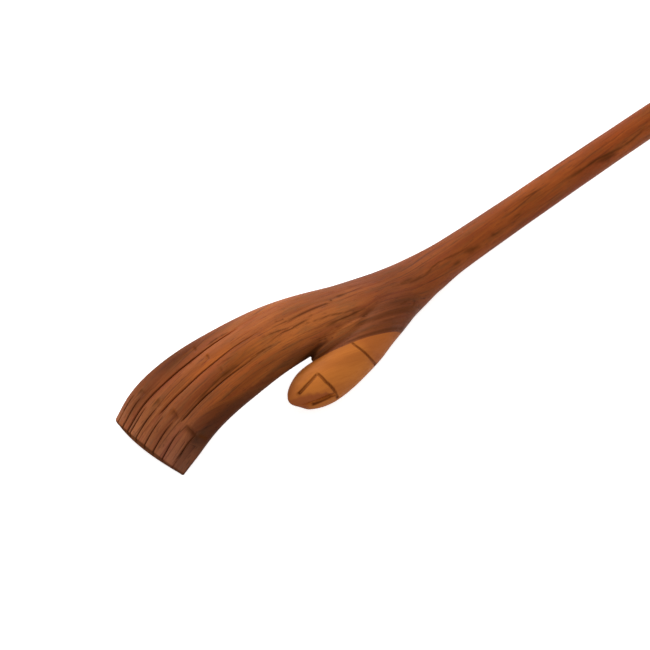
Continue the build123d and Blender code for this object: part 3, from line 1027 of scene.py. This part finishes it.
def heartwood():
    """Red-brown oiled hardwood: long dark veins, short flecks and fine pores along the grain."""
    wood = Wood("heartwood_oiled")
    grain = wood.attribute("grain", "Vector")
    broad = wood.streaks(grain, (0.014, 0.16, 0.1), 4, 0.6, 0.4)
    streak = wood.streaks(grain, (0.012, 0.75, 0.4), 5, 0.62, 0.3)
    warp = wood.streaks(grain, (0.016, 0.07, 0.05), 2, 0.5)
    across = wood.node("SeparateXYZ", {0: grain}).outputs["Y"]
    phase = wood.math("ADD", wood.product(across, RINGS_PER_MM), wood.product(warp, RING_WARP))
    rings = wood.ramp(wood.math("SINE", phase), 0.72, 1.0)
    ring_share = wood.ramp(wood.streaks(grain, (0.03, 0.2, 0.2), 2, 0.5), 0.42, 0.7)
    flecks = wood.ramp(wood.streaks(grain, (0.11, 1.7, 1.4), 3, 0.6), 0.57, 0.72)
    pores = wood.ramp(wood.streaks(grain, (0.35, 5.5, 5.0), 2, 0.5), 0.58, 0.72)
    fibre = wood.streaks(grain, (0.08, 9.0, 8.0), 2, 0.6)
    patch = wood.streaks(grain, (0.05, 0.34, 0.3), 3, 0.6)
    colour = wood.mix(wood.ramp(broad, 0.35, 0.68), HEART_MIDDLE, HEART_LIGHT)
    colour = wood.mix(wood.ramp(streak, 0.50, 0.70, 0.0, 0.65), colour, HEART_RED)
    colour = wood.mix(wood.ramp(patch, 0.52, 0.68, 0.0, 0.4), colour, HEART_WARM_PATCH)
    colour = wood.mix(wood.ramp(patch, 0.48, 0.34, 0.0, 0.4), colour, HEART_OLIVE_PATCH)
    colour = wood.stain_and_shade(colour, wood.product(rings, ring_share), 0.6, HEART_DARK)
    colour = wood.stain_and_shade(colour, flecks, 0.7, HEART_DARK)
    colour = wood.stain_and_shade(colour, pores, 0.35, HEART_DARK)
    colour = wood.mix(wood.ramp(fibre, 0.3, 0.7, 0.0, 0.12), colour, HEART_DARK)
    colour = wood.vector_product(colour, wood.attribute("tint", "Vector"))
    colour = wood.mix(wood.attribute("vein"), colour, HEART_VEIN)
    colour = wood.stain_and_shade(colour, wood.attribute("shade"), 0.9, HEART_SHADE)
    # the knife cuts darkened by dirt together with painted shade
    colour = wood.stain_and_shade(colour, wood.attribute("cut"), 0.92, HEART_CUT_DIRT_AND_SHADE)
    roughness = wood.math("ADD", wood.ramp(streak, 0.3, 0.7, 0.5, 0.62), wood.product(pores, 0.12))
    height = wood.math("SUBTRACT", wood.product(fibre, 0.35), wood.product(pores, 0.8))
    height = wood.math("SUBTRACT", height, wood.product(flecks, 0.5))
    return wood.finish(colour, roughness, height, 0.35, 0.00012)


def sapwood():
    """Pale honey-coloured sapwood with faint grain."""
    wood = Wood("sapwood_oiled")
    grain = wood.attribute("grain", "Vector")
    broad = wood.streaks(grain, (0.03, 0.22, 0.15), 3, 0.55, 0.3)
    streak = wood.streaks(grain, (0.03, 1.1, 0.8), 4, 0.6, 0.2)
    flecks = wood.ramp(wood.streaks(grain, (0.16, 2.6, 2.2), 3, 0.6), 0.6, 0.76)
    pores = wood.ramp(wood.streaks(grain, (0.4, 6.5, 6.0), 2, 0.5), 0.6, 0.74)
    colour = wood.mix(wood.ramp(broad, 0.35, 0.68), SAP_MIDDLE, SAP_LIGHT)
    colour = wood.mix(wood.ramp(streak, 0.5, 0.72, 0.0, 0.35), colour, SAP_STREAK)
    colour = wood.vector_product(colour, wood.attribute("tint", "Vector"))
    colour = wood.stain_and_shade(colour, wood.attribute("shade"), 0.62, SAP_SHADE)
    colour = wood.stain_and_shade(colour, flecks, 0.16, SAP_FLECK)
    colour = wood.stain_and_shade(colour, pores, 0.2, SAP_PORE)
    # the knife cuts darkened by dirt together with painted shade
    colour = wood.stain_and_shade(colour, wood.attribute("cut"), 0.96, SAP_CUT_DIRT_AND_SHADE)
    roughness = wood.ramp(streak, 0.3, 0.7, 0.5, 0.6)
    height = wood.math("SUBTRACT", wood.product(streak, 0.3), wood.product(pores, 0.7))
    return wood.finish(colour, roughness, height, 0.3, 0.0001)


for piece, material in ((hand, heartwood()), (thumb, sapwood())):
    piece.data.materials.clear()
    piece.data.materials.append(material)
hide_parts("hand_and_handle")
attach(hand, "root")
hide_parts("thumb")
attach(thumb, "root")

# ---- floor, light and camera ----
scene = bpy.context.scene
FLOOR = 6.0
FLOOR_WHITE = (0.93, 0.93, 0.93, 1)
FLOOR_GLOW = 0.7
WHITE = (1, 1, 1, 1)
floor_corners = [(-FLOOR, -FLOOR, 0), (FLOOR, -FLOOR, 0), (FLOOR, FLOOR, 0), (-FLOOR, FLOOR, 0)]
floor_mesh = bpy.data.meshes.new("floor")
floor_mesh.from_pydata(floor_corners, [], [(0, 1, 2, 3)])
floor = placed("floor", floor_mesh)
paint = Wood("floor_white")
speck = paint.noise(paint.node("NewGeometry").outputs["Position"], 2)
floor_shader = paint.node("BsdfPrincipled", {
    "Base Color": FLOOR_WHITE, "Roughness": paint.ramp(speck, 0.3, 0.7, 0.8, 0.9),
    "Emission Color": WHITE, "Emission Strength": FLOOR_GLOW})
paint.tree.links.new(floor_shader.outputs[0], paint.node("OutputMaterial").inputs[0])
floor_mesh.materials.append(paint.material)
floor.visible_diffuse = False

world = bpy.data.worlds.new("studio")
world.use_nodes = True
sky = world.node_tree
kinds = ("TexCoord", "SeparateXYZ", "MapRange")
direction, parts, level = [sky.nodes.new("ShaderNode" + kind) for kind in kinds]
sky.links.new(direction.outputs["Generated"], parts.inputs[0])
sky.links.new(parts.outputs["Z"], level.inputs["Value"])
for name, value in (("From Min", -0.5), ("From Max", 0.5), ("To Min", 0.35), ("To Max", 0.7)):
    level.inputs[name].default_value = value
sky.links.new(level.outputs[0], sky.nodes["Background"].inputs["Strength"])
sky.nodes["Background"].inputs["Color"].default_value = WHITE
scene.world = world
scene.view_settings.view_transform = "Standard"


def soft_light(name, place, aim, size, power):
    """A round area light; its size is in metres and its power in watts."""
    lamp = bpy.data.lights.new(name, "AREA")
    lamp.shape = "DISK"
    lamp.size = size
    lamp.energy = power
    light = placed(name, lamp)
    light.location = place
    light.rotation_euler = (Vector(aim) - Vector(place)).to_track_quat("-Z", "Y").to_euler()


soft_light("key", place=(0.2, 1.6, 0.9), aim=(-0.05, 0, 0), size=1.0, power=22)
soft_light("fill", place=(-0.6, -1.2, 1.3), aim=(-0.1, 0, 0), size=1.4, power=4)

AZIMUTH = np.radians(42.16)
ELEVATION = np.radians(43.54)
CAMERA_ROLL = np.radians(-1.54)
CAMERA_AIM = Vector((-0.1101, 0.006, 0.0095))
CAMERA_DISTANCE = 1.1
right = Vector((np.cos(AZIMUTH), -np.sin(AZIMUTH), 0))
forward = Vector((np.sin(AZIMUTH) * np.cos(ELEVATION), np.cos(AZIMUTH) * np.cos(ELEVATION),
                  -np.sin(ELEVATION)))
up = right.cross(forward)
turned_right = right * np.cos(CAMERA_ROLL) + up * np.sin(CAMERA_ROLL)
turned_up = up * np.cos(CAMERA_ROLL) - right * np.sin(CAMERA_ROLL)
lens = bpy.data.cameras.new("camera")
lens.lens = 138.5
lens.sensor_width = 36
lens.clip_start = 0.05
lens.clip_end = 30
camera = placed("camera", lens)
spin = Matrix((turned_right, turned_up, -forward)).transposed().to_4x4()
camera.matrix_world = Matrix.Translation(CAMERA_AIM - forward * CAMERA_DISTANCE) @ spin
scene.camera = camera
